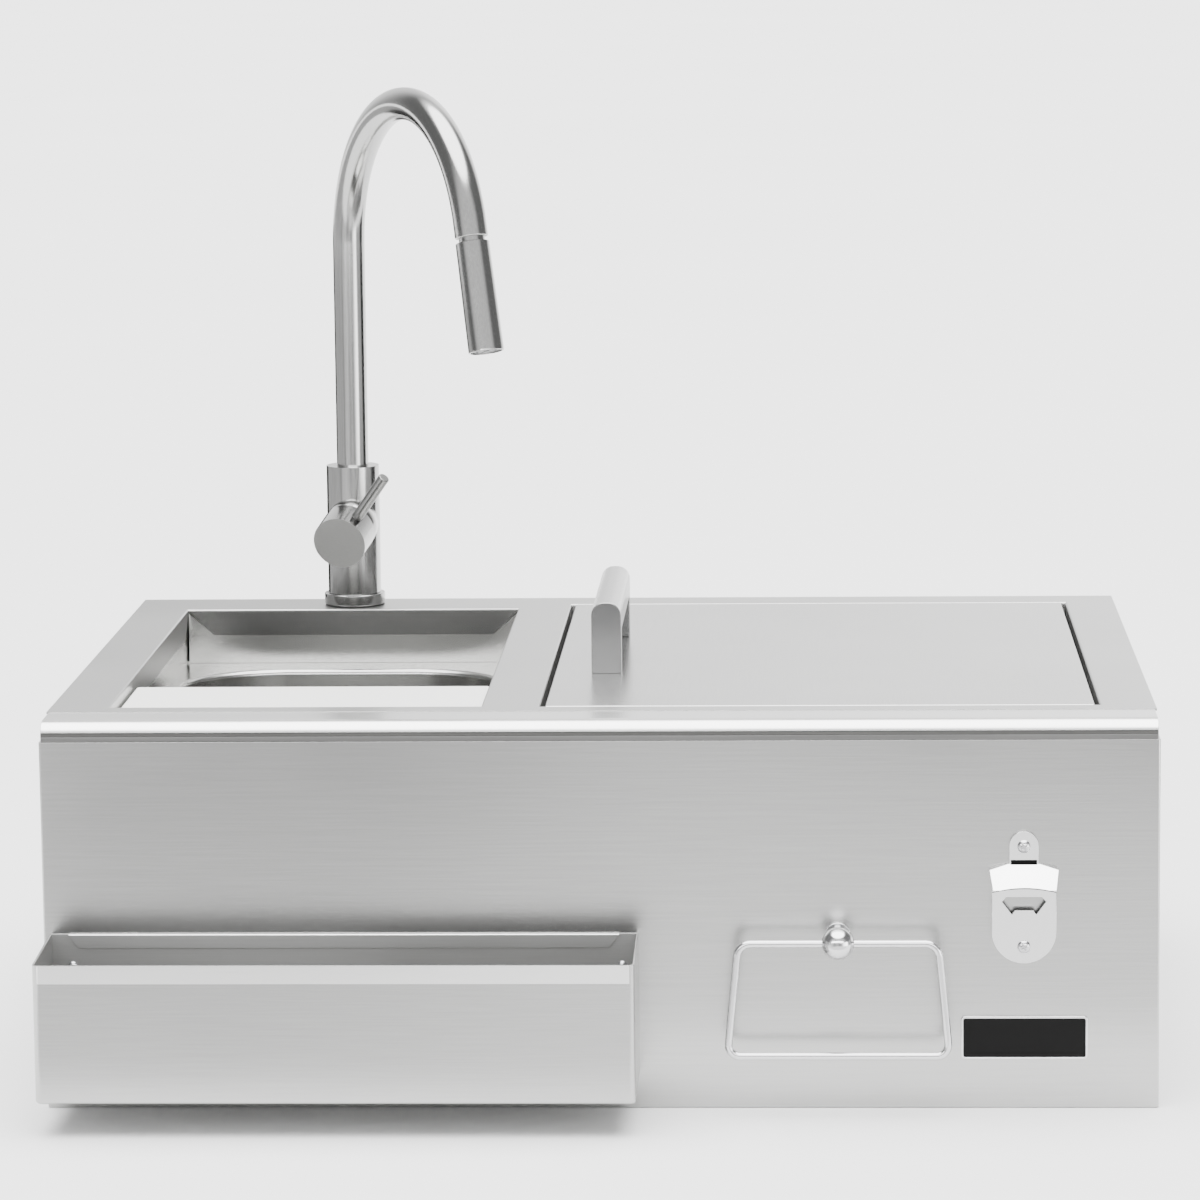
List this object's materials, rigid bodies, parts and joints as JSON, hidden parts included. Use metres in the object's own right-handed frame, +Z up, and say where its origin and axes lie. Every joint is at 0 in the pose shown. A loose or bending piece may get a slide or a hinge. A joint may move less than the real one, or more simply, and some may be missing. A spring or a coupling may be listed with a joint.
{
  "type": "refreshment center",
  "caption": "Steel drop-in cabinet with a sink, pull-down tap, insulated ice chest under a hinged lid, speed rail, towel loop and cap opener.",
  "frame": {"origin": "centre of the cabinet's underside", "axes": "+Z up, +X towards the ice chest (right as seen from the front), -Y out of the front panel"},
  "size_m": [0.787, 0.662, 0.6994],
  "materials": {
    "steel": "satin",
    "bright_steel": "polished",
    "board": "satin",
    "rubber": "matte",
    "foam": "matte",
    "brass": "satin",
    "nylon": "satin",
    "black_plate": "satin"
  },
  "bodies": {
    "cabinet": {"deck": "steel", "nose_rail": "steel", "front_panel": "steel", "side_panel_left": "steel", "side_panel_right": "steel", "back_panel": "steel", "bottom_pan": "steel", "sink_collar": "steel", "sink_bowl": "steel", "board_runners": "steel", "strainer_body": "bright_steel", "strainer_gasket": "rubber", "strainer_nut": "nylon", "drain_tail": "bright_steel", "slip_nut": "bright_steel", "ice_bin": "steel", "bin_insulation": "foam", "bin_drain": "bright_steel", "bin_drain_nut": "bright_steel", "bin_grate": "bright_steel", "speed_rail": "steel", "rail_screws": "bright_steel", "rail_nuts": "bright_steel", "loop_post": "bright_steel", "loop_ball": "bright_steel", "loop_screw": "bright_steel", "bottle_opener": "bright_steel", "opener_screws": "bright_steel", "badge_rim": "bright_steel", "badge_plate": "black_plate", "tap_gasket": "rubber", "base_ring": "steel", "tap_body": "steel", "tap_shank": "brass", "shank_washer": "steel", "shank_nut": "brass", "supply_tails": "brass", "cartridge": "nylon", "cartridge_nut": "brass"},
    "lid": {"lid_skin": "steel", "lid_core": "foam", "lid_liner": "steel", "lid_gasket": "rubber", "lid_handle": "steel", "handle_screws": "bright_steel", "lid_pins": "bright_steel"},
    "spout": {"spout": "steel", "spout_bush": "nylon", "spray_dock": "nylon", "spray_hose": "nylon"},
    "spray": {"spray_head": "steel", "spray_core": "nylon", "spray_face": "nylon"},
    "lever_base": {"lever_rotor": "nylon"},
    "lever": {"lever_stem": "bright_steel", "lever_cap": "steel", "lever_rod": "steel"},
    "loop": {"towel_loop": "bright_steel"},
    "board": {"cutting_board": "board"},
    "basket": {"strainer_basket": "bright_steel"}
  },
  "joints": [
    {"name": "lid_swing", "type": "hinge", "parent": "cabinet", "child": "lid", "pos_m": [0.3461, 0.0125, 0.273], "axis": [0, 1, 0], "range_deg": [0, 110]},
    {"name": "spout_swivel", "type": "hinge", "parent": "cabinet", "child": "spout", "pos_m": [-0.219, 0.2605, 0.38], "axis": [0, 0, 1], "continuous": true},
    {"name": "spray_pull", "type": "slide", "parent": "spout", "child": "spray", "axis": [0.1287, -0.2303, -0.9646], "range_m": [0, 0.04]},
    {"name": "lever_turn", "type": "hinge", "parent": "cabinet", "child": "lever_base", "pos_m": [-0.219, 0.236, 0.345], "axis": [0, -1, 0], "range_deg": [-50, 40]},
    {"name": "lever_tilt", "type": "hinge", "parent": "lever_base", "child": "lever", "pos_m": [-0.219, 0.236, 0.345], "axis": [0.8191, 0, -0.5736], "range_deg": [-22, 1]},
    {"name": "towel_swing", "type": "hinge", "parent": "cabinet", "child": "loop", "pos_m": [0.168, -0.3175, 0.1247], "axis": [-1, 0, 0], "range_deg": [-19, 199]},
    {"name": "board_lift", "type": "slide", "parent": "cabinet", "child": "board", "axis": [0, 0, 1], "range_m": [0, 0.12]},
    {"name": "basket_lift", "type": "slide", "parent": "cabinet", "child": "basket", "axis": [0, 0, 1], "range_m": [0, 0.15]}
  ]
}
